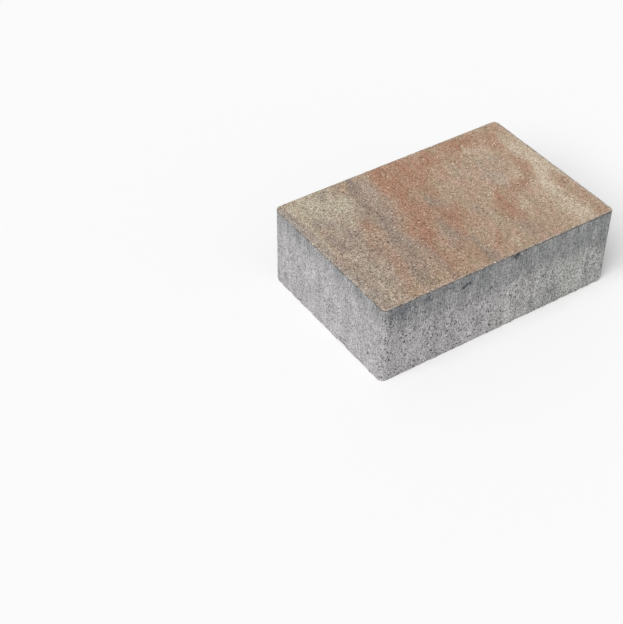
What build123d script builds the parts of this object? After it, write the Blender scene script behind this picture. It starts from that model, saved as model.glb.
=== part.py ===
"""Concrete paving block: a rectangular unit with rounded upright corners and an eased top edge."""

import os

from build123d import *

# Driving dimensions, in millimetres
length = 248.0  # long side, along X
width = 165.0  # short side, along Y
height = 80.0  # thickness, from the bedding face up to the wearing face
corner_radius = 4.0  # rounding of the four upright corners
arris_radius = 1.0  # easing of the edge round the wearing face

os.makedirs("parts", exist_ok=True)

# The block stands on its bedding face, with the origin at the centre of that face.
# Its bottom edge stays sharp, as it leaves the board that it is pressed on.
with BuildPart() as paver:
    with BuildSketch(Plane.XY):
        RectangleRounded(length, width, corner_radius)
    extrude(amount=height)
    wearing_face = paver.faces().sort_by(Axis.Z)[-1]
    fillet(wearing_face.edges(), radius=arris_radius)

paver.part.label = "paver"
export_step(paver.part, "parts/paver.step")
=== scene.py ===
"""Concrete paver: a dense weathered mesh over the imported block.

The wearing face is a sandy face mix in blended colours, and the sides are grey pressed concrete.
"""

import math

import bpy
import numpy as np
from mathutils import Matrix, Vector, kdtree, noise


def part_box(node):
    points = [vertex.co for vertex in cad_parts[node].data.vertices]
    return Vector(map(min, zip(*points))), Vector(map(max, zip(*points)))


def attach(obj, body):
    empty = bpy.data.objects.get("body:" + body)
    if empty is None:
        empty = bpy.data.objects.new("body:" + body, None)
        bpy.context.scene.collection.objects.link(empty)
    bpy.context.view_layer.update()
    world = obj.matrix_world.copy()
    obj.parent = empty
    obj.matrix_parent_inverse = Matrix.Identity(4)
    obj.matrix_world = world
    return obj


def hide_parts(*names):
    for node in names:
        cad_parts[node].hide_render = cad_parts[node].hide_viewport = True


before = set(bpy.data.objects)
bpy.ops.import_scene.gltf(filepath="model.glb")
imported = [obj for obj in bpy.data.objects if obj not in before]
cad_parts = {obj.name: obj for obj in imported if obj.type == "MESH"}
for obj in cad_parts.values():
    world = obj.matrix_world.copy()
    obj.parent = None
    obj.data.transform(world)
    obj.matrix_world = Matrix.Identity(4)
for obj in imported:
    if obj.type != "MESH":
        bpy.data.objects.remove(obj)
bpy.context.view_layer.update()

MM = 0.001
NODE = "paver"
BODY = "root"
PIECE = "paver_weathered"

# The block's outline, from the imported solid. Three of its upright corners are worn rounder than the
# solid's, and the right one in front isn't.
LOW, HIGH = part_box(NODE)
HALF_X = (HIGH.x - LOW.x) / 2
HALF_Y = (HIGH.y - LOW.y) / 2
HEIGHT = HIGH.z - LOW.z
WORN_CORNER = 5.5 * MM
CRISP_CORNER = 4.0 * MM
ARRIS = 1.0 * MM

# Mesh density
STEP = 1.12 * MM
ARRIS_ROWS = 3
BED_BAND = 2.0 * MM

# Height of the upper part of the sides, which the mould dragged smooth. The part below it is open.
SMOOTH_BAND = 27.0 * MM

# Name of the mesh's own record of how deep its pores are, which the materials darken with dirt and painted
# shade
PIT = "pit"

# Material places on the mesh
FACE_MIX, GREY_SIDE = 0, 1

# Texture map: each face of the block has its own place on one sheet, with a little room between them
SIDES = ("front", "right", "back", "left")
SHEET = 424 * MM
MAP_CORNER = {
    "top": (2 * MM, 2 * MM),
    "bed": (254 * MM, 2 * MM),
    "front": (2 * MM, 170 * MM),
    "back": (2 * MM, 255 * MM),
    "right": (254 * MM, 254 * MM),
    "left": (254 * MM, 339 * MM),
}


# Mesh of the smooth block


def corner_radius(x, y):
    """Radius of the upright corner that is nearest to each place."""
    return np.where((x > 0) & (y < 0), CRISP_CORNER, WORN_CORNER)


def rounded_grid(inset, columns, rows):
    """Grid over the block's outline, drawn in by inset: x and y, each rows + 1 by columns + 1."""
    half_x, half_y = HALF_X - inset, HALF_Y - inset
    x, y = np.meshgrid(np.linspace(-half_x, half_x, columns + 1), np.linspace(-half_y, half_y, rows + 1))
    radius = corner_radius(x, y) - inset
    over_x = np.abs(x) - (half_x - radius)
    over_y = np.abs(y) - (half_y - radius)
    in_corner = (over_x > 0) & (over_y > 0)
    spread = np.where(in_corner, np.hypot(over_x, over_y), 1.0)
    pull = np.where(in_corner, 1 - np.maximum(over_x, over_y) / spread, 0.0)
    return x - np.sign(x) * over_x * pull, y - np.sign(y) * over_y * pull


def rim(grid):
    """A grid's border, anticlockwise from the front left corner."""
    return np.concatenate([grid[0, :-1], grid[:-1, -1], grid[-1, :0:-1], grid[:0:-1, 0]])


def on_map(part, across, along):
    """Places on the texture map, from distances across and along one face of the block."""
    corner = MAP_CORNER[part]
    return np.stack([corner[0] + across, corner[1] + along], -1) / SHEET


class Block:
    """Points, outward normals, faces and texture map of the smooth block, before any relief."""

    def __init__(self):
        self.columns = 2 * round(HALF_X / STEP)
        self.rows = 2 * round(HALF_Y / STEP)
        self.side_rows = round(HEIGHT / STEP)
        self.points = np.empty((0, 3))
        self.normals = np.empty((0, 3))
        self.faces = []
        self.uvs = []
        self.slots = []
        self.add_top()
        self.add_sides()
        self.add_bed()

    def add_points(self, points, normals):
        first = len(self.points)
        self.points = np.concatenate([self.points, points])
        self.normals = np.concatenate([self.normals, normals])
        return np.arange(first, len(self.points))

    def add_faces(self, faces, uvs, slot):
        self.faces.extend(faces.tolist())
        self.uvs.append(uvs.reshape(-1, 2))
        self.slots.extend([slot] * len(faces))

    def add_grid(self, ids, places, slot, upward=False):
        """Quads over a grid of point numbers, with each point's place on the texture map."""
        corners = [np.s_[:-1, :-1], np.s_[:-1, 1:], np.s_[1:, 1:], np.s_[1:, :-1]]
        if not upward:
            corners.reverse()
        faces = np.stack([ids[c] for c in corners], -1).reshape(-1, 4)
        uvs = np.stack([places[c] for c in corners], -2).reshape(-1, 4, 2)
        self.add_faces(faces, uvs, slot)

    def add_top(self):
        x, y = rounded_grid(ARRIS, self.columns, self.rows)
        points = np.stack([x, y, np.full_like(x, HEIGHT)], -1).reshape(-1, 3)
        self.top_ids = self.add_points(points, np.tile((0.0, 0.0, 1.0), (x.size, 1))).reshape(x.shape)
        self.add_grid(self.top_ids, on_map("top", x + HALF_X, y + HALF_Y), FACE_MIX, upward=True)
        border = np.stack([rim(x), rim(y)], -1)
        radius = corner_radius(*border.T)[:, None]
        inner = np.array([HALF_X, HALF_Y]) - radius
        self.out = (border - border.clip(-inner, inner)) / (radius - ARRIS)
        self.outline = border + self.out * ARRIS

    def ring(self, inset, z, up):
        """One ring of points round the block. up is the height of their normals."""
        level = np.full(len(self.outline), z)
        points = np.column_stack([self.outline - self.out * inset, level])
        normals = np.column_stack([self.out * math.sqrt(1 - up * up), np.full(len(level), up)])
        return self.add_points(points, normals)

    def add_sides(self):
        rings = [rim(self.top_ids)]
        drops = [0.0]
        for row in range(1, ARRIS_ROWS + 1):
            turn = math.pi / 2 * row / ARRIS_ROWS
            inset = ARRIS * (1 - math.sin(turn))
            rings.append(self.ring(inset, HEIGHT - ARRIS * (1 - math.cos(turn)), math.cos(turn)))
            drops.append(ARRIS * turn)
        for row in range(1, self.side_rows + 1):
            below = (HEIGHT - ARRIS) * row / self.side_rows
            rings.append(self.ring(0.0, HEIGHT - ARRIS - below, 0.0))
            drops.append(ARRIS * math.pi / 2 + below)
        starts = np.cumsum([0, self.columns, self.rows, self.columns, self.rows])
        for side, first, last in zip(SIDES, starts[:-1], starts[1:]):
            span = np.arange(first, last + 1)
            ids = np.array([ring[span % len(ring)] for ring in rings])
            across, down = np.meshgrid((span - first) * STEP, drops)
            places = on_map(side, across, down)
            self.add_grid(ids[:ARRIS_ROWS + 1], places[:ARRIS_ROWS + 1], FACE_MIX)
            self.add_grid(ids[ARRIS_ROWS:], places[ARRIS_ROWS:], GREY_SIDE)
        self.foot = rings[-1]

    def add_bed(self):
        """The underside, on a grid half as fine, with a border of five-sided faces between the two."""
        x, y = rounded_grid(BED_BAND, self.columns // 2, self.rows // 2)
        points = np.stack([x, y, np.zeros_like(x)], -1).reshape(-1, 3)
        ids = self.add_points(points, np.tile((0.0, 0.0, -1.0), (x.size, 1))).reshape(x.shape)
        self.add_grid(ids, on_map("bed", y + HALF_Y, x + HALF_X), GREY_SIDE)
        inner = rim(ids)
        outer = self.foot[::2]
        between = self.foot[1::2]
        faces = np.stack([outer, inner, np.roll(inner, -1), np.roll(outer, -1), between], -1)
        flat = self.points[faces]
        self.add_faces(faces, on_map("bed", flat[..., 1] + HALF_Y, flat[..., 0] + HALF_X), GREY_SIDE)


# Relief, always into the block so that the mesh stays in the solid's box

SEED = 11

# Noise patterns of the relief: the size of their features in mm, one for all axes or one for each
PATTERN_SIZES = {
    "fine": 2.4,
    "middle": 5.5,
    "broad": 45,
    "drag": (1.9, 1.9, 26),
    "streak": (7, 7, 70),
    "wave": 14,
    "lump": 7,
}
PATTERN_SHIFT = 17.3

# How deep each surface lies below the plain block, in mm: its mean, and how much each pattern adds
FACE_DEPTH = {"mean": 0.16, "fine": 0.12, "middle": 0.07, "broad": 0.06}
SMOOTH_DEPTH = {"mean": 0.16, "drag": 0.07, "streak": 0.06, "fine": 0.03}
OPEN_DEPTH = {"mean": 0.42, "fine": 0.26, "middle": 0.20, "streak": 0.10, "ragged": 1.4}
BED_DEPTH = {"mean": 0.45, "fine": 0.25, "middle": 0.35}

# Where the smooth part of the sides turns into the open part, and how high the ragged foot reaches
BAND_WAVE = 3 * MM
BAND_BLUR = 4 * MM
RAGGED_HEIGHT = 5 * MM

# How ragged the bottom edge is: on the left half of the long side in front, what its crumbling right half
# adds, and on the other sides. The front changes this far to both sides of its middle.
SHARP_FOOT = 0.2
CRUMBLING_FOOT = 1.4
HIDDEN_FOOT = 0.6
FOOT_CHANGE = 20 * MM

# A surface faces a way if its normal has this much of that direction. Level and upright ones are told
# apart by how much of their normal points up or down.
FACING = 0.7
LEVEL = 0.99
UPRIGHT = 0.1

# Random pores: how many, and the radius and depth in mm of the largest
PITS = {
    "top": (40, 1.6, 0.9),
    "open": (620, 1.6, 1.2),
    "smooth": (150, 1.5, 1.0),
    "bed": (260, 3.5, 1.6),
}
SMALLEST_PIT = 0.5

# Hollows that the photograph shows on the long side: x, z, radius and depth in mm
FRONT_HOLLOWS = (
    (15.5, 76.0, 2.6, 2.6), (14.5, 74.0, 1.8, 1.4), (11.0, 77.0, 2.2, 0.8),
    (-44.5, 66.5, 1.8, 0.9), (-41.0, 66.8, 2.2, 1.7), (-38.5, 69.0, 2.0, 1.1), (-34.5, 68.8, 2.0, 1.4),
    (-11.0, 53.0, 2.0, 0.9), (-79.0, 52.5, 2.0, 0.8), (-90.0, 8.0, 1.8, 0.8), (-67.5, 9.0, 1.8, 0.7),
    (67.0, 19.0, 2.2, 0.9), (61.0, 15.0, 2.0, 0.9), (37.5, 9.0, 2.0, 0.9), (-7.0, 8.0, 1.8, 0.9),
)

# Pores that it shows on the wearing face: x, y, radius and depth in mm
TOP_PORES = (
    (-68.5, -11.0, 1.5, 1.1), (74.0, -18.0, 1.8, 0.6), (-89.5, 55.5, 1.6, 1.1), (114.0, -28.0, 1.5, 1.0),
    (-60.5, 68.0, 1.6, 1.0), (-105.5, 37.5, 1.5, 0.9), (-82.5, 68.5, 1.5, 1.0), (-75.0, 77.5, 1.6, 0.8),
    (103.5, 23.0, 1.5, 0.9), (-27.0, -33.5, 1.4, 0.9), (-109.0, -23.0, 1.4, 0.8), (-46.5, 77.5, 1.5, 0.8),
)

# Chips along the edges: how many, their radii and how deep they bite, in mm
CHIP_RADII = (3.0, 9.0)
TOP_CHIPS = 60
TOP_BITES = (0.6, 1.1)
FOOT_CHIPS = 70
FOOT_BITES = (0.3, 1.2)

# The right corner in front is broken off at its foot
BROKEN_INSET = 1.0 * MM
BROKEN_RADIUS = 9 * MM
BROKEN_BITE = 3 * MM


def perlin(points, size, seed):
    """Smooth noise, about -1 to 1, with features of that size (one length, or one for each axis)."""
    shifted = points / size + PATTERN_SHIFT * seed
    return np.array([noise.noise(p) for p in shifted.tolist()])


def ease(value, low, high):
    """0 below low, 1 above high and a smooth step between."""
    share = np.clip((value - low) / (high - low), 0, 1)
    return share * share * (3 - 2 * share)


def crumbling(points, normals):
    """How ragged the bottom edge is at these points."""
    front = ease(points[:, 0], -FOOT_CHANGE, FOOT_CHANGE) * CRUMBLING_FOOT + SHARP_FOOT
    return np.where(normals[:, 1] < -FACING, front, HIDDEN_FOOT)


def relief_patterns(points, normals):
    """Every pattern of the relief at these points, by name."""
    patterns = {"mean": 1.0}
    for seed, (name, size) in enumerate(PATTERN_SIZES.items(), start=1):
        patterns[name] = perlin(points, np.asarray(size) * MM, seed)
    foot = ease(-points[:, 2], -RAGGED_HEIGHT, 0)
    patterns["ragged"] = foot * patterns["lump"].clip(0) * crumbling(points, normals)
    return patterns


def laid_up(depths, patterns):
    """A surface's depth in mm, from its amount of each pattern."""
    return sum(amount * patterns[name] for name, amount in depths.items())


def surface_depth(points, normals):
    """How deep the sandy top, the smooth and the open sides and the underside lie below the plain block."""
    top = normals[:, 2].clip(0, 1)
    bed = (-normals[:, 2]).clip(0, 1)
    side = np.hypot(normals[:, 0], normals[:, 1])
    patterns = relief_patterns(points, normals)
    drop = HEIGHT - points[:, 2] + BAND_WAVE * patterns["wave"]
    openness = ease(drop, SMOOTH_BAND - BAND_BLUR, SMOOTH_BAND + BAND_BLUR)
    smooth = laid_up(SMOOTH_DEPTH, patterns)
    flank = smooth + (laid_up(OPEN_DEPTH, patterns) - smooth) * openness
    depth = top * laid_up(FACE_DEPTH, patterns) + side * flank + bed * laid_up(BED_DEPTH, patterns)
    return MM * depth.clip(0)


class Pores:
    """Round pores pressed into the relief. pit keeps how deep each point lies in one, in mm."""

    def __init__(self, depth, points):
        self.depth = depth
        self.pit = np.zeros(len(points))
        self.tree = kdtree.KDTree(len(points))
        for number, point in enumerate(points.tolist()):
            self.tree.insert(point, number)
        self.tree.balance()

    def press(self, centre, radius, deepest):
        for _, number, away in self.tree.find_range(centre, radius):
            deep = deepest * (1 - (away / radius) ** 2)
            self.depth[number] = max(self.depth[number], deep)
            self.pit[number] = max(self.pit[number], deep / MM)


def scatter_pits(pores, block, chance):
    """Pores: a few on the top, many on the open sides and the underside, fewer on the smooth parts."""
    up = block.normals[:, 2]
    upright = np.abs(up) < UPRIGHT
    smooth = (block.points[:, 2] > HEIGHT - SMOOTH_BAND) | (block.normals[:, 0] < -FACING)
    regions = {"top": up > LEVEL, "open": upright & ~smooth, "smooth": upright & smooth, "bed": up < -LEVEL}
    for region, chosen in regions.items():
        count, widest, deepest = PITS[region]
        centres = block.points[chance.choice(np.flatnonzero(chosen), count)]
        for centre, scale in zip(centres, chance.uniform(SMALLEST_PIT, 1.0, count)):
            pores.press(centre, scale * widest * MM, scale * deepest * MM)


def press_seen_pores(pores):
    for x, z, radius, deep in FRONT_HOLLOWS:
        pores.press((x * MM, -HALF_Y, z * MM), radius * MM, deep * MM)
    for x, y, radius, deep in TOP_PORES:
        pores.press((x * MM, y * MM, HEIGHT), radius * MM, deep * MM)


def chip(points, place, away, radius, bite):
    """Takes a shallow round chip out of an edge, pushing points out of a ball."""
    centre = np.array(place) + np.array(away.normalized()) * (radius - bite)
    gap = points - centre
    far = np.linalg.norm(gap, axis=1)
    inside = far < radius
    points[inside] = centre + gap[inside] * (radius / far[inside])[:, None]


def chip_edge(points, block, spots, z, up, bites, chance):
    """Chips along the top or the bottom edge, at these places on the outline."""
    for spot in spots:
        radius = chance.uniform(*CHIP_RADII) * MM
        bite = chance.uniform(*bites) * MM
        chip(points, (*block.outline[spot], z), Vector((*block.out[spot], up)), radius, bite)


def weathered(block):
    """The block's points with relief, pores and chips, and how deep each one lies in a pore."""
    chance = np.random.default_rng(SEED)
    depth = surface_depth(block.points, block.normals)
    pores = Pores(depth, block.points)
    scatter_pits(pores, block, chance)
    press_seen_pores(pores)
    points = block.points - block.normals * depth[:, None]
    spots = chance.integers(len(block.outline), size=TOP_CHIPS)
    chip_edge(points, block, spots, HEIGHT, 1, TOP_BITES, chance)
    share = crumbling(block.outline, block.out)
    spots = chance.choice(len(share), FOOT_CHIPS, p=share / share.sum())
    chip_edge(points, block, spots, 0.0, -1, FOOT_BITES, chance)
    corner = (HALF_X - BROKEN_INSET, -HALF_Y + BROKEN_INSET, 0.0)
    chip(points, corner, Vector((1, -1, -1)), BROKEN_RADIUS, BROKEN_BITE)
    return points, pores.pit


def make_paver():
    block = Block()
    points, pit = weathered(block)
    mesh = bpy.data.meshes.new(PIECE)
    mesh.from_pydata(points.tolist(), [], block.faces)
    mesh.polygons.foreach_set("material_index", block.slots)
    mesh.polygons.foreach_set("use_smooth", [True] * len(block.faces))
    mesh.attributes.new(PIT, "FLOAT", "POINT").data.foreach_set("value", pit)
    layer = mesh.uv_layers.new(name="OFBake")
    layer.uv.foreach_set("vector", np.concatenate(block.uvs).astype(np.float32).ravel())
    mesh.update()
    mesh.materials.append(face_mix())
    mesh.materials.append(grey_side())
    piece = bpy.data.objects.new(PIECE, mesh)
    bpy.context.scene.collection.objects.link(piece)
    return piece


# Materials, with lengths in mm

X_END = HALF_X / MM
Y_END = HALF_Y / MM
Z_TOP = HEIGHT / MM
WHITE = (1, 1, 1, 1)
SPECULAR = 0.25

# Cloudy noise mostly lies between these. The wider range makes for gentler changes.
CLOUD_LOW, CLOUD_HIGH = 0.3, 0.7
WIDE_CLOUD = (0.25, 0.75)

# Detail and roughness of cloudy noise with frayed edges
FRAYED = (3.0, 0.6)

# Brightness range of the dust on the grains, on the wearing face and on the sides
DUST_LIGHT = (0.80, 1.20)

# A soft patch has faded to half at its radii and ends this many times as far out
FADE = 1.7

# Specks, in cells: their solid middle, their soft rim and how far a random share widens both.
# The last one is how softly the cells that have a speck are chosen.
SPECK_MIDDLE = 0.1
SPECK_RIM = 0.35
SPECK_GROWTH = 0.35
SPECK_CHOICE = 0.01

# Dirt and painted shade in pores are at their darkest from this depth on
DEEP_PIT = 1.2


def srgb(red, green, blue):
    """A screen colour, from 0 to 255, as the linear colour that a shader takes."""
    shares = np.array([red, green, blue]) / 255
    return (*np.where(shares <= 0.04045, shares / 12.92, ((shares + 0.055) / 1.055) ** 2.4), 1.0)


class Surface:
    """A procedural material. Most calls add nodes and hand back an output socket. The others say so."""

    def __init__(self, name):
        self.material = bpy.data.materials.new(name)
        self.material.use_nodes = True
        self.tree = self.material.node_tree
        self.shader = self.tree.nodes["Principled BSDF"]
        metres = self.node("ShaderNodeTexCoord").outputs["Object"]
        self.place = self.vector("SCALE", {0: metres, "Scale": 1 / MM})

    def node(self, kind, inputs=None, **settings):
        """Adds and hands back one node."""
        made = self.tree.nodes.new(kind)
        for name, value in settings.items():
            setattr(made, name, value)
        for name, value in (inputs or {}).items():
            self.feed(made.inputs[name], value)
        return made

    def feed(self, socket, value):
        """Links a socket to another one, or sets its value."""
        if isinstance(value, bpy.types.NodeSocket):
            self.tree.links.new(value, socket)
        else:
            socket.default_value = value

    def math(self, operation, *values):
        return self.node("ShaderNodeMath", dict(enumerate(values)), operation=operation).outputs[0]

    def vector(self, operation, inputs):
        return self.node("ShaderNodeVectorMath", inputs, operation=operation).outputs[0]

    def axes(self, place):
        """The three coordinates of a place."""
        return self.node("ShaderNodeSeparateXYZ", {0: place}).outputs

    def shares(self, colour):
        """The three channels of a colour."""
        return self.node("ShaderNodeSeparateColor", {0: colour}).outputs

    def stretched(self, *scale):
        return self.vector("MULTIPLY", {0: self.place, 1: scale})

    def leaning(self, lean, along):
        """Coordinates for streaks that lean to the right and are drawn out that many times."""
        inputs = {"Vector": self.place, "Rotation": (0, 0, math.radians(-lean)), "Scale": (1, along, 1)}
        return self.node("ShaderNodeMapping", inputs, vector_type="TEXTURE").outputs[0]

    def warped(self, size, reach, place, pattern):
        """A place pushed about by noise over the pattern's coordinates, for shapes with uneven edges."""
        push = self.noise(size, place=pattern).outputs[1]
        centred = self.vector("SUBTRACT", {0: push, 1: (0.5, 0.5, 0.5)})
        return self.vector("MULTIPLY_ADD", {0: centred, 1: reach, 2: place})

    def noise(self, size, detail=2.0, roughness=0.5, place=None):
        """The noise node itself, with a grey and a coloured output."""
        inputs = {"Vector": place or self.place, "Scale": 1 / size, "Detail": detail,
                  "Roughness": roughness}
        return self.node("ShaderNodeTexNoise", inputs)

    def cloudy(self, size, detail=2.0, roughness=0.5, place=None):
        return self.noise(size, detail, roughness, place).outputs[0]

    def cells(self, size, place=None):
        """The cell node itself, with a random colour for each cell and the distance from its middle."""
        return self.node("ShaderNodeTexVoronoi", {"Vector": place or self.place, "Scale": 1 / size})

    def ramp(self, value, low, high, start=0.0, end=1.0):
        """From start to end, in a smooth step, as a value goes from low to high."""
        inputs = {"Value": value, "From Min": low, "From Max": high, "To Min": start, "To Max": end}
        return self.node("ShaderNodeMapRange", inputs, interpolation_type="SMOOTHSTEP").outputs[0]

    def between(self, share, start, end):
        """From start to end, as a share goes from 0 to 1."""
        return self.ramp(share, 0.0, 1.0, start, end)

    def spread(self, cloudy, start=0.0, end=1.0, low=CLOUD_LOW, high=CLOUD_HIGH):
        """Cloudy noise, spread over the range from start to end."""
        return self.ramp(cloudy, low, high, start, end)

    def mix(self, factor, a, b, blend="MIX"):
        settings = {"data_type": "RGBA", "blend_type": blend}
        return self.node("ShaderNodeMix", {0: factor, 6: a, 7: b}, **settings).outputs[2]

    def dim(self, colour, amount, cover=None):
        """A colour multiplied by an amount or another colour, all over or only where the cover is."""
        if cover is not None:
            amount = self.mix(cover, WHITE, amount)
        return self.mix(1.0, colour, amount, "MULTIPLY")

    def specks(self, cells, channel, share, lift=0.0):
        """Specks of uneven size in a share of the cells, picked by a channel of their colour plus lift."""
        lots = self.shares(cells.outputs["Color"])
        lot = self.math("ADD", lots[channel], lift)
        chosen = self.ramp(lot, 1 - share, 1 - share + SPECK_CHOICE)
        away = self.math("MULTIPLY_ADD", lots[2], -SPECK_GROWTH, cells.outputs["Distance"])
        return self.math("MULTIPLY", chosen, self.ramp(away, SPECK_MIDDLE, SPECK_RIM, 1.0, 0.0))

    def dirt_and_shade_in_pores(self, colour, darkest):
        """A colour that grows darker towards the bottom of the mesh's pores: dirt and painted shade in them.
        """
        pit = self.node("ShaderNodeAttribute", attribute_name=PIT).outputs["Fac"]
        return self.dim(colour, self.ramp(pit, 0.0, DEEP_PIT, 1.0, darkest))

    def cloud(self, place, centre, radii, lean, strength):
        """What a soft oval patch leaves clear: 1 outside it, and 1 less its strength in its middle."""
        inputs = {"Vector": place, "Location": centre, "Rotation": (0, 0, math.radians(lean)),
                  "Scale": [FADE * radius for radius in radii]}
        local = self.node("ShaderNodeMapping", inputs, vector_type="TEXTURE").outputs[0]
        near = self.node("ShaderNodeTexGradient", {"Vector": local}, gradient_type="SPHERICAL").outputs[1]
        return self.ramp(near, 0.0, 2 - 2 / FADE, 1.0, 1 - strength)

    def joined(self, patches):
        """Soft patches run together into one cover, from 0 to 1."""
        clear = patches[0]
        for patch in patches[1:]:
            clear = self.math("MULTIPLY", clear, patch)
        return self.math("SUBTRACT", 1.0, clear)

    def close(self, colour, roughness, height):
        """Joins colour, roughness and a height to the shader, and hands back the material."""
        inputs = {"Height": height, "Distance": MM, "Strength": 1.0}
        self.feed(self.shader.inputs["Base Color"], colour)
        self.feed(self.shader.inputs["Roughness"], roughness)
        self.feed(self.shader.inputs["Normal"], self.node("ShaderNodeBump", inputs).outputs[0])
        self.shader.inputs["Specular IOR Level"].default_value = SPECULAR
        return self.material


# Wearing face

# Pigment clouds: x, y, half length, half width, lean to the right, strength
RUST = (
    (-20, 58, 34, 11, 8, 0.75), (8, 56, 30, 9, 6, 0.75), (-6, 62, 28, 13, 4, 0.60),
    (-26, 15, 26, 13, 10, 0.60), (-15, -6, 16, 9, 12, 0.45), (-36, -19, 17, 11, 8, 0.88),
    (-38, -50, 15, 8, 6, 0.40), (-36, -70, 12, 13, 0, 0.35), (-2, -20, 20, 6, 8, 0.70),
    (9, -18, 16, 8, 5, 0.52), (0, 2, 8, 4, 10, 0.35), (30, 68, 11, 14, 0, 0.75),
    (24, 56, 10, 8, 0, 0.35), (56, 52, 6, 8, 0, 0.40), (70, 70, 8, 20, 0, 0.66),
    (105, 69, 9, 10, 0, 0.50), (97, 52, 10, 8, 0, 0.35), (98, 14, 13, 6, 14, 0.40),
    (89, -5, 8, 6, 30, 0.40), (72, -11, 13, 7, 75, 0.42), (50, -26, 14, 9, 8, 0.70),
    (52, -40, 7, 4, 0, 0.50), (43, -30, 14, 6, 5, 0.25), (115, -22, 12, 6, 0, 0.35),
    (11, -60, 6, 8, 0, 0.40), (112, -56, 9, 8, 0, 0.20), (112, -78, 4, 5, 0, 0.35),
    (-71, 14, 9, 4, 10, 0.45), (-79, -18, 12, 4, 12, 0.35), (-82, -45, 14, 5, 10, 0.40),
    (-89, -70, 13, 5, 10, 0.35), (-17, -14, 10, 6, 10, 0.40), (10, -20, 12, 6, 5, 0.25),
    (53, -50, 12, 5, 5, 0.35), (72, 66, 10, 13, 0, 0.25), (26, 61, 12, 8, 0, 0.30),
    (-15, -58, 14, 9, 5, 0.35),
)
VIOLET = (
    (-51, 72, 12, 8, 6, 0.75), (-56, 32, 24, 9, 6, 0.62), (-59, 4, 14, 9, 8, 0.55),
    (-63, -22, 18, 10, 8, 0.60), (-68, -55, 18, 10, 8, 0.55), (-45, 14, 14, 6, 8, 0.30),
    (-47, -58, 24, 6, 6, 0.45), (-2, 8, 14, 8, 10, 0.60), (-12, -30, 13, 7, 14, 0.50),
    (-22, -48, 9, 5, 10, 0.50), (-5, -62, 20, 5, 3, 0.60), (25, -22, 14, 4, 0, 0.30),
    (46, -62, 18, 8, 5, 0.35), (-103, 35, 6, 8, 0, 0.50), (-80, 74, 5, 6, 0, 0.40),
    (-105, 12, 10, 7, 0, 0.55), (-88, 20, 10, 7, 0, 0.60), (-113, -70, 10, 6, 0, 0.45),
    (-98, -22, 8, 8, 0, 0.30), (74, -18, 3, 3, 0, 0.60), (-117, -55, 24, 5, 0, 0.35),
    (-119, 55, 26, 3.5, 0, 0.40), (-58, 66, 8, 5, 6, 0.45), (-40, -30, 13, 9, 6, 0.40),
    (-108, -40, 8, 7, 0, 0.30), (-96, -52, 7, 6, 0, 0.25), (53, -56, 12, 5, 5, 0.30),
    (-34, 33, 5, 4, 0, 0.30), (-84, -48, 22, 8, 10, 0.20), (-91, -2, 8, 5, 0, 0.45),
    (-83, -18, 7, 5, 0, 0.35), (-81, 69, 5, 4, 0, 0.60), (-73.5, 75.5, 4, 4, 0, 0.60),
    (-67.5, 69, 4, 2.5, 0, 0.50),
)
LILAC = (
    (-36, 58, 24, 6, 5, 0.60), (-100, -15, 75, 20, 4, 0.60), (45, 38, 9, 11, 0, 0.28),
    (65, 12, 15, 9, 0, 0.60), (66, 35, 5, 5, 0, 0.40), (78, 36, 11, 8, 0, 0.40),
    (-44, 46, 32, 9, 6, 0.60), (-52, 0, 26, 8, 8, 0.40), (-75, 20, 14, 11, 0, 0.30),
)
OLIVE = (
    (-94, 56, 24, 18, 0, 0.95), (-71, 46, 18, 10, 8, 0.95), (-112, 68, 16, 8, 0, 0.50),
    (-102, -42, 16, 14, 0, 0.45), (-110, -68, 10, 8, 0, 0.45), (-100, -8, 10, 10, 0, 0.30),
    (-80, 75, 8, 15, 0, 0.75), (-118, 22, 24, 5, 0, 0.60), (-95, 24, 6, 4, 0, 0.60),
    (-87, 4, 5, 4, 0, 0.50), (-105, -8, 7, 6, 0, 0.60), (-102, -28, 7, 7, 0, 0.50),
    (-118, -58, 9, 5, 0, 0.50), (-105, 21, 15, 12, 0, 0.25),
)
SAND_AND_EDGE_HIGHLIGHT = (
    (67, -31, 10, 5, 8, 0.35), (100, -28, 20, 7, 4, 0.90), (96, -64, 17, 9, 4, 0.65),
    (113, 18, 34, 6, 0, 0.70), (70, 57, 5, 9, 0, 0.35), (25, -74, 7, 6, 0, 0.40),
    (84, 10, 12, 4, 0, 0.35), (86, -45, 30, 6, 4, 0.35), (30, -35, 10, 5, 0, 0.20),
    # The last cloud on the next line is a painted highlight along the right edge
    (106, -62, 16, 5, 0, 0.35), (106, 8, 24, 5, 4, 0.50), (122, 0, 70, 4, 0, 0.50),
    (78, 48, 10, 9, 0, 0.30),
)

# Each pigment's tint and its clouds, from the lowest to the one on top
PIGMENTS = (
    (srgb(186, 178, 157), OLIVE),
    (srgb(201, 187, 166), SAND_AND_EDGE_HIGHLIGHT),
    (srgb(167, 152, 139), LILAC),
    (srgb(138, 125, 117), VIOLET),
    (srgb(163, 120, 97), RUST),
)
ROSY_TAN = srgb(177, 149, 129)
DUN_TAN = srgb(167, 149, 125)
WORN_GREY = srgb(156, 153, 149)
PALE_SPECK = srgb(238, 222, 203)

# What dark specks and the darkest and palest grains do to the colour under them
DARK_SPECK = (0.17, 0.12, 0.08, 1)
DARK_GRAIN = (0.47, 0.40, 0.36, 1)
PALE_GRAIN = (1.55, 1.62, 1.68, 1)

# Pigment streaks: how far they lean, in degrees, and how much longer than wide they are
STREAK_LEAN = 13
STREAK_LENGTH = 3.5

# A cloud of pigment reaches right through the block
THROUGH = 1000

# Noise that makes the clouds' borders uneven, broad and small: its size and its reach along each axis
BROAD_WARP = (14.0, (22, 50, 0))
SMALL_WARP = (4.0, (8, 20, 0))

# How much of the pigment is left where noise and single grains break it up
LEFT_BY_NOISE = (0.6, 1.15)
LEFT_BY_GRAIN = (0.75, 1.25)

# Painted light, brighter from the near left to the far right corner: where it changes, as x plus y, and its
# range
PAINTED_LIGHT_CHANGE = (-130, 170)
PAINTED_LIGHT_RANGE = (0.975, 1.05)

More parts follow.
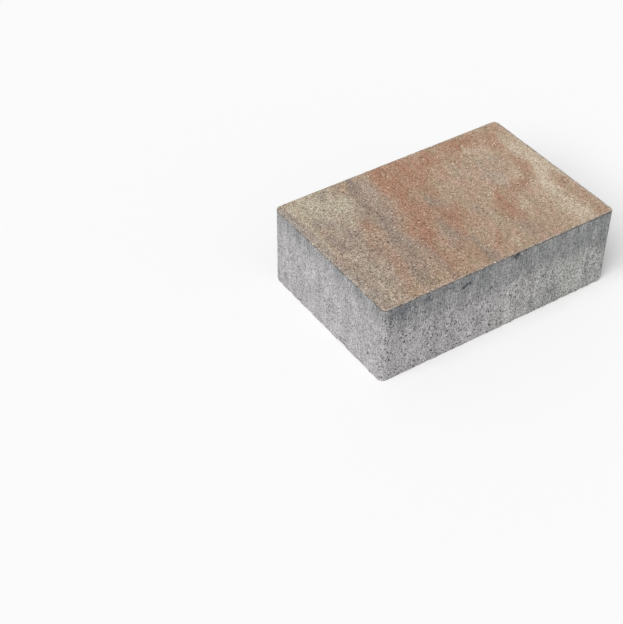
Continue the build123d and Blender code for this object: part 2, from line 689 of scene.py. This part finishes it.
# Greyer rims: their width at the ends, at the long sides and, fading slowly, at the left end
END_RIM = 5
LONG_RIM = 3
LEFT_RIM = 12
RIM_STRENGTH = 0.5

# The arris keeps this much of its brightness at its foot, and all of it from this far below the top
ARRIS_SHADE = 0.42
UNDIMMED_ARRIS = 0.4

# Sizes of the grains, of the dust on them, of the mottling, of the speck cells and of the specks' clusters
FACE_GRAIN = 0.74
FACE_DUST = 0.45
FACE_MOTTLE = 3.5
FACE_SPOT = 1.3
FACE_CLUSTER = 8.0

# Shares of the speck cells with a pale and with a dark speck, and by how much clusters change them
PALE_SHARE = 0.05
DARK_SHARE = 0.09
FACE_CLUSTERING = (-0.05, 0.05)

# Brightness range of the mottling, and range of the roughness
MOTTLE_LIGHT = (0.86, 1.14)
FACE_ROUGHNESS = (0.82, 0.96)

# Mottling and grains grow weaker towards the right: where they do along x, and how much is left of them
MOTTLE_CHANGE = (-100, -40)
MOTTLE_ON_RIGHT = 0.55
GRAIN_CHANGE = (-90, 10)
GRAIN_ON_RIGHT = 0.74

# The far left corner is calmer: where that begins and is complete, as y less x, and how much of the mottling
# and of the dark specks it keeps
CALM_BEGINS = 100
CALM_COMPLETE = 150
CALM_MOTTLE = 0.40
CALM_SPECKS = 0.55

# Heights of the grains and of the dust on them, and how much of the colour the bottom of a pore keeps
# under its dirt and painted shade
GRAIN_HEIGHT = 0.07
DUST_HEIGHT = 0.06
FACE_PORE = 0.25


def pigments(s, lot):
    """Tan ground with streaky clouds of pigment, broken up by noise and by each grain's random lot."""
    streaks = s.leaning(STREAK_LEAN, STREAK_LENGTH)
    uneven = s.warped(*BROAD_WARP, s.place, streaks)
    uneven = s.warped(*SMALL_WARP, uneven, streaks)
    broken = s.spread(s.cloudy(5.0, 4.0, 0.65, streaks), *LEFT_BY_NOISE, high=0.65)
    broken = s.math("MULTIPLY", broken, s.between(lot, *LEFT_BY_GRAIN))
    colour = s.mix(s.spread(s.cloudy(7.0, *FRAYED, streaks)), ROSY_TAN, DUN_TAN)
    for tint, clouds in PIGMENTS:
        patches = [s.cloud(uneven, (x, y, 0), (wide, long, THROUGH), -lean, strength)
                   for x, y, long, wide, lean, strength in clouds]
        colour = s.mix(s.math("MULTIPLY", s.joined(patches), broken), colour, tint)
    return colour


def face_rims(s, colour, x, y, z):
    """A colour made greyer along the edges, a little paler to the far right by painted light, and dark on the
    arris.
    """
    ends = s.ramp(s.math("ABSOLUTE", x), X_END - END_RIM, X_END)
    long_sides = s.ramp(s.math("ABSOLUTE", y), Y_END - LONG_RIM, Y_END)
    left = s.ramp(x, -X_END, LEFT_RIM - X_END, 1.0, 0.0)
    rims = s.math("MAXIMUM", s.math("MAXIMUM", ends, left), long_sides)
    colour = s.mix(s.math("MULTIPLY", rims, RIM_STRENGTH), colour, WORN_GREY)
    # Painted light: a little paler towards the far right corner
    colour = s.dim(colour, s.ramp(s.math("ADD", x, y), *PAINTED_LIGHT_CHANGE, *PAINTED_LIGHT_RANGE))
    return s.dim(colour, s.ramp(z, (HEIGHT - ARRIS) / MM, Z_TOP - UNDIMMED_ARRIS, ARRIS_SHADE, 1.0))


def face_mix():
    """Sandy face concrete: clouds of pigment under pale and dark grains, specks and a few pores."""
    s = Surface("face_mix")
    x, y, z = s.axes(s.place)
    grains = s.cells(FACE_GRAIN)
    shade, lot = s.shares(grains.outputs["Color"])[:2]
    dust = s.cloudy(FACE_DUST)
    colour = face_rims(s, pigments(s, lot), x, y, z)
    calm = s.ramp(s.math("SUBTRACT", y, x), CALM_BEGINS, CALM_COMPLETE)
    mottled = s.spread(s.cloudy(FACE_MOTTLE, *FRAYED), *MOTTLE_LIGHT)
    mottling = s.ramp(x, *MOTTLE_CHANGE, s.between(calm, 1.0, CALM_MOTTLE), MOTTLE_ON_RIGHT)
    colour = s.dim(colour, mottled, mottling)
    grainy = s.dim(s.mix(shade, DARK_GRAIN, PALE_GRAIN), s.spread(dust, *DUST_LIGHT))
    colour = s.dim(colour, grainy, s.ramp(x, *GRAIN_CHANGE, 1.0, GRAIN_ON_RIGHT))
    spots = s.cells(FACE_SPOT, s.warped(0.9, (1.4, 1.4, 1.4), s.place, s.place))
    clusters = s.spread(s.cloudy(FACE_CLUSTER, 3.0), *FACE_CLUSTERING)
    colour = s.mix(s.specks(spots, 0, PALE_SHARE, clusters), colour, PALE_SPECK)
    dark = s.math("MULTIPLY", s.specks(spots, 1, DARK_SHARE, clusters), s.between(calm, 1.0, CALM_SPECKS))
    # Pores darkened: dirt and painted shade in them
    colour = s.dirt_and_shade_in_pores(s.dim(colour, DARK_SPECK, dark), FACE_PORE)
    humps = s.ramp(grains.outputs["Distance"], 0.1, 0.7, GRAIN_HEIGHT, 0.0)
    height = s.math("ADD", humps, s.spread(dust, 0.0, DUST_HEIGHT))
    return s.close(colour, s.between(shade, *FACE_ROUGHNESS), height)


# Sides

# Dark marks on the long side: stains, and dirt and painted shade in its hollows.
# x, z, half width, half height, strength
FRONT_STAINS_AND_SHADE = (
    (-104, 73, 10, 5, 0.60), (-79, 73, 7, 4, 0.60), (-40, 70, 7, 3, 0.30),
    (-41, 66.6, 1.8, 2, 0.75), (-34.5, 68.5, 2, 1.6, 0.65), (-38.5, 69, 1.6, 1.4, 0.50),
    (-34, 73, 2, 2, 0.45), (15.5, 76, 3.2, 2.6, 0.95), (14.5, 74, 1.8, 2, 0.75),
    (10, 76.5, 5, 2.5, 0.50), (-55, 74, 9, 3, 0.35), (113, 42, 8, 14, 0.15),
    (60, 14, 9, 8, 0.25), (40, 11, 4, 8, 0.25), (-22, 21, 6, 5, 0.25),
    (-70, 42, 1.0, 14, 0.35), (14, 30, 1.0, 10, 0.35), (100, 40, 1.2, 12, 0.35),
    (-8, 53.5, 4, 2, 0.30), (-80, 53, 5, 3, 0.30), (-48, 43, 6, 8, 0.15),
    (-25, 46, 20, 6, 0.12), (108, 75, 14, 5, 0.25), (-106, 42, 13, 17, 0.10),
)
# Pale upright streaks on it, in the same way
FRONT_STREAKS = (
    (-33, 12, 6, 9, 0.60), (10.5, 21, 3, 18, 0.60), (93, 20, 4, 16, 0.45), (-5, 30, 3, 14, 0.25),
    (-96, 30, 5, 16, 0.25), (-15, 12, 3, 12, 0.25), (48, 14, 3, 10, 0.20), (-74, 14, 4, 8, 0.30),
    (19, 7, 9, 9, 0.30), (110, 9, 9, 8, 0.20),
)

# How deep these marks reach into the block, and the noise that makes their borders uneven: its size and its
# reach along each axis
MARK_DEPTH = 20
MARK_WARP = (3.0, (5, 5, 5))

OPEN_GREY_LEFT = srgb(169, 166, 167)
OPEN_GREY_RIGHT = srgb(166, 166, 163)
SMOOTH_GREY = srgb(135, 136, 137)
STREAK_GREY = srgb(190, 188, 188)
STAIN_AND_SHADE_GREY = srgb(98, 101, 105)
PALE_STONE = srgb(212, 210, 208)

# What the broken brown line under the arris does to the grey
EDGE_BROWN = (0.47, 0.42, 0.38, 1)

# Smooth band: how much of the length it sinks by towards the right, and how far below and above its border
# it fades
BAND_SLOPE = 0.03
FADE_BELOW = 14
FADE_ABOVE = 8

# Left end: how wide the turn to it is, how far the smooth band's border rises there, and how much of the
# band and of the coarse grains it keeps
LEFT_TURN = 10
LEFT_RISE = 12.0
LEFT_SHARE = 0.85

# Noise that makes the band's border and other changes uneven: its size and its reach along each axis
BROAD_WAVER = (18.0, (10, 10, 24))
SMALL_WAVER = (5.0, (4, 4, 12))

# Scales of the sides' coordinates. Less than 1 draws a pattern out along that axis, and more squeezes it.
UPRIGHT_SCALE = (1.0, 1.0, 0.3)
DRAG_SCALE = (1.0, 1.0, 0.035)
GRAIN_SCALE = (1.15, 1.15, 0.75)
SPOT_SCALE = (1.3, 1.3, 1.0)

# Sizes of the patches in the band, of the broad and the small patches all over, of the drag marks, of the
# grains, of the dust on them, of the speck cells and of the specks' clusters
BAND_PATCH = 8.0
BROAD_PATCH = 9.0
SMALL_PATCH = 2.5
DRAG_MARK = 0.55
SIDE_GRAIN = 0.75
SIDE_DUST = 0.5
SIDE_SPOT = 1.7
SIDE_CLUSTER = 7.0

# Brightness ranges of the patches, of the drag marks and of the grains, and range of the roughness
BROAD_LIGHT = (0.87, 1.13)
SMALL_LIGHT = (0.91, 1.09)
DRAG_LIGHT = (0.68, 1.32)
GRAIN_LIGHT = (0.57, 1.43)
SIDE_ROUGHNESS = (0.95, 0.85)

# How strong the band is in its patches, and how much of the drag marks shows below it
BAND_RANGE = (0.6, 1.1)
DRAG_BELOW = 0.30

# Shares of the speck cells with a pale stone and with a hole darkened by dirt and painted shade, and by how
# much clusters change the holes'
STONE_SHARE = 0.05
HOLE_SHARE = 0.22
HOLE_CLUSTERING = (-0.18, 0.14)

# How deep the holes are, how high the roughness between them is, and how much of the colour the bottom of a
# pore keeps under its dirt and painted shade
HOLE_DEPTH = 0.20
ROUGH_HEIGHT = 0.08
SIDE_PORE = 0.55

# Changes along the long side, from left to right: where they lie along x, how much of the coarse grains the
# band keeps, and how much of the colour a hole keeps under its dirt and painted shade
OPEN_CHANGE = (-60, 90)
COARSE_CHANGE = (-110, -20)
COARSE_KEPT = (0.80, 0.64)
HOLE_CHANGE = (-40, 40)
HOLE_KEPT = (0.06, 0.18)

# Brown line: how far below the top it begins and is complete, where it changes along x, and from which noise
# on it begins to show and shows fully
LINE_BEGINS = 2.7
LINE_COMPLETE = 1.3
LINE_CHANGE = (20, 80)
LINE_FROM = (0.38, 0.28)
LINE_FULL = (0.58, 0.48)


def on_front(s, place, marks):
    """Cover of soft marks on the long side that the photograph shows."""
    return s.joined([s.cloud(place, (x, -Y_END, z), (wide, MARK_DEPTH, high), 0, strength)
                     for x, z, wide, high, strength in marks])


def smooth_band(s, x, z, left):
    """How far the mould has dragged the concrete smooth, from 0 in the open part to 1 above."""
    level = (HEIGHT - SMOOTH_BAND) / MM
    tilted = s.math("MULTIPLY_ADD", x, BAND_SLOPE, z)
    raised = s.math("MULTIPLY_ADD", left, -LEFT_RISE, tilted)
    faded = s.ramp(raised, level - FADE_BELOW, level + FADE_ABOVE)
    return s.math("MULTIPLY", faded, s.between(left, 1.0, LEFT_SHARE))


def pressed_greys(s, x, band, upright):
    """Pale open grey and darker smooth grey, with streaks, stains, dirt and painted shade in hollows, and the
    mould's upright drag marks.
    """
    patchy = s.math("MULTIPLY", band, s.spread(s.cloudy(BAND_PATCH, *FRAYED, upright), *BAND_RANGE))
    open_grey = s.mix(s.ramp(x, *OPEN_CHANGE), OPEN_GREY_LEFT, OPEN_GREY_RIGHT)
    colour = s.mix(patchy, open_grey, SMOOTH_GREY)
    uneven = s.warped(*MARK_WARP, s.place, s.place)
    colour = s.mix(on_front(s, uneven, FRONT_STREAKS), colour, STREAK_GREY)
    # Stains, and dirt and painted shade in the hollows
    colour = s.mix(on_front(s, uneven, FRONT_STAINS_AND_SHADE), colour, STAIN_AND_SHADE_GREY)
    drag = s.spread(s.cloudy(DRAG_MARK, place=s.stretched(*DRAG_SCALE)), *DRAG_LIGHT, *WIDE_CLOUD)
    colour = s.dim(colour, drag, s.between(band, DRAG_BELOW, 1.0))
    colour = s.dim(colour, s.spread(s.cloudy(BROAD_PATCH, *FRAYED, upright), *BROAD_LIGHT, *WIDE_CLOUD))
    return s.dim(colour, s.spread(s.cloudy(SMALL_PATCH), *SMALL_LIGHT))


def brown_line(s, x):
    """Cover of the broken line just under the arris, which is less broken on the right."""
    low = s.ramp(x, *LINE_CHANGE, *LINE_FROM)
    high = s.ramp(x, *LINE_CHANGE, *LINE_FULL)
    broken = s.spread(s.cloudy(4.0, *FRAYED), low=low, high=high)
    line = s.ramp(s.axes(s.place)[2], Z_TOP - LINE_BEGINS, Z_TOP - LINE_COMPLETE)
    return s.math("MULTIPLY", line, broken)


def grey_side():
    """Grey pressed concrete: open and pale below, smooth, darker and streaked by the mould above."""
    s = Surface("grey_side")
    upright = s.stretched(*UPRIGHT_SCALE)
    uneven = s.warped(*BROAD_WAVER, s.place, upright)
    x, _, z = s.axes(s.warped(*SMALL_WAVER, uneven, upright))
    left = s.ramp(x, -X_END, LEFT_TURN - X_END, 1.0, 0.0)
    band = smooth_band(s, x, z, left)
    colour = pressed_greys(s, x, band, upright)
    grains = s.cells(SIDE_GRAIN, s.stretched(*GRAIN_SCALE))
    shade = s.shares(grains.outputs["Color"])[0]
    in_band = s.between(band, 1.0, s.ramp(x, *COARSE_CHANGE, *COARSE_KEPT))
    coarse = s.math("MULTIPLY", in_band, s.between(left, 1.0, LEFT_SHARE))
    colour = s.dim(colour, s.between(shade, *GRAIN_LIGHT), coarse)
    colour = s.dim(colour, s.spread(s.cloudy(SIDE_DUST), *DUST_LIGHT))
    spots = s.cells(SIDE_SPOT, s.warped(1.2, (1.6, 1.6, 2.4), s.stretched(*SPOT_SCALE), s.place))
    colour = s.mix(s.math("MULTIPLY", s.specks(spots, 1, STONE_SHARE), coarse), colour, PALE_STONE)
    clusters = s.spread(s.cloudy(SIDE_CLUSTER, 3.0), *HOLE_CLUSTERING)
    hole = s.math("MULTIPLY", s.specks(spots, 0, HOLE_SHARE, clusters), coarse)
    # Holes darkened: dirt and painted shade in them
    colour = s.dim(colour, s.between(hole, 1.0, s.ramp(x, *HOLE_CHANGE, *HOLE_KEPT)))
    # Pores darkened with dirt and painted shade in them, then the brown line under the arris
    colour = s.dim(s.dirt_and_shade_in_pores(colour, SIDE_PORE), EDGE_BROWN, brown_line(s, x))
    rough = s.spread(s.cloudy(0.8, 3.0), 0.0, ROUGH_HEIGHT)
    height = s.math("ADD", s.between(hole, HOLE_DEPTH, 0.0), rough)
    return s.close(colour, s.between(band, *SIDE_ROUGHNESS), height)


# Stage

# Photograph's camera, solved from the block's straight edges
IMAGE_HEIGHT_PX = 624
FOCAL_PX = 1470.4
SENSOR_MM = 36.0
CAMERA_PLACE = (-0.6675, -0.7848, 0.8636)
CAMERA_AZIMUTH = -33.95
CAMERA_ELEVATION = 41.51
CAMERA_ROLL = 0.53

FLOOR_HALF = 6.0
FLOOR_TINT = (0.94, 0.94, 0.94, 1)

# An even white dome, and one broad soft key light from the left
DOME_STRENGTH = 0.42
KEY_STRENGTH = 2.5
KEY_WIDTH = 50
KEY_FROM = (-0.6, -0.25, 0.76)


def pale_floor():
    material = bpy.data.materials.new("pale_floor")
    material.use_nodes = True
    shader = material.node_tree.nodes["Principled BSDF"]
    shader.inputs["Base Color"].default_value = FLOOR_TINT
    shader.inputs["Roughness"].default_value = 1.0
    shader.inputs["Specular IOR Level"].default_value = 0.0
    return material


def add_camera():
    data = bpy.data.cameras.new("camera")
    data.sensor_width = SENSOR_MM
    data.lens = FOCAL_PX / IMAGE_HEIGHT_PX * SENSOR_MM
    camera = bpy.data.objects.new("camera", data)
    turn = Matrix.Rotation(math.radians(CAMERA_AZIMUTH), 4, "Z")
    tilt = Matrix.Rotation(math.radians(90 - CAMERA_ELEVATION), 4, "X")
    roll = Matrix.Rotation(math.radians(CAMERA_ROLL), 4, "Z")
    camera.matrix_world = Matrix.Translation(CAMERA_PLACE) @ turn @ tilt @ roll
    bpy.context.scene.collection.objects.link(camera)
    bpy.context.scene.camera = camera


def add_floor():
    mesh = bpy.data.meshes.new("floor")
    corners = [(-FLOOR_HALF, -FLOOR_HALF, 0), (FLOOR_HALF, -FLOOR_HALF, 0),
               (FLOOR_HALF, FLOOR_HALF, 0), (-FLOOR_HALF, FLOOR_HALF, 0)]
    mesh.from_pydata(corners, [], [(0, 1, 2, 3)])
    mesh.materials.append(pale_floor())
    floor = bpy.data.objects.new("floor", mesh)
    bpy.context.scene.collection.objects.link(floor)


def add_light():
    world = bpy.data.worlds.new("studio")
    world.use_nodes = True
    background = world.node_tree.nodes["Background"]
    background.inputs["Color"].default_value = WHITE
    background.inputs["Strength"].default_value = DOME_STRENGTH
    bpy.context.scene.world = world
    data = bpy.data.lights.new("key", "SUN")
    data.angle = math.radians(KEY_WIDTH)
    data.energy = KEY_STRENGTH
    key = bpy.data.objects.new("key", data)
    key.rotation_mode = "QUATERNION"
    key.rotation_quaternion = Vector(KEY_FROM).to_track_quat("Z", "Y")
    bpy.context.scene.collection.objects.link(key)
    bpy.context.scene.view_settings.view_transform = "Standard"


paver = make_paver()
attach(paver, BODY)
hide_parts(NODE)
add_floor()
add_light()
add_camera()
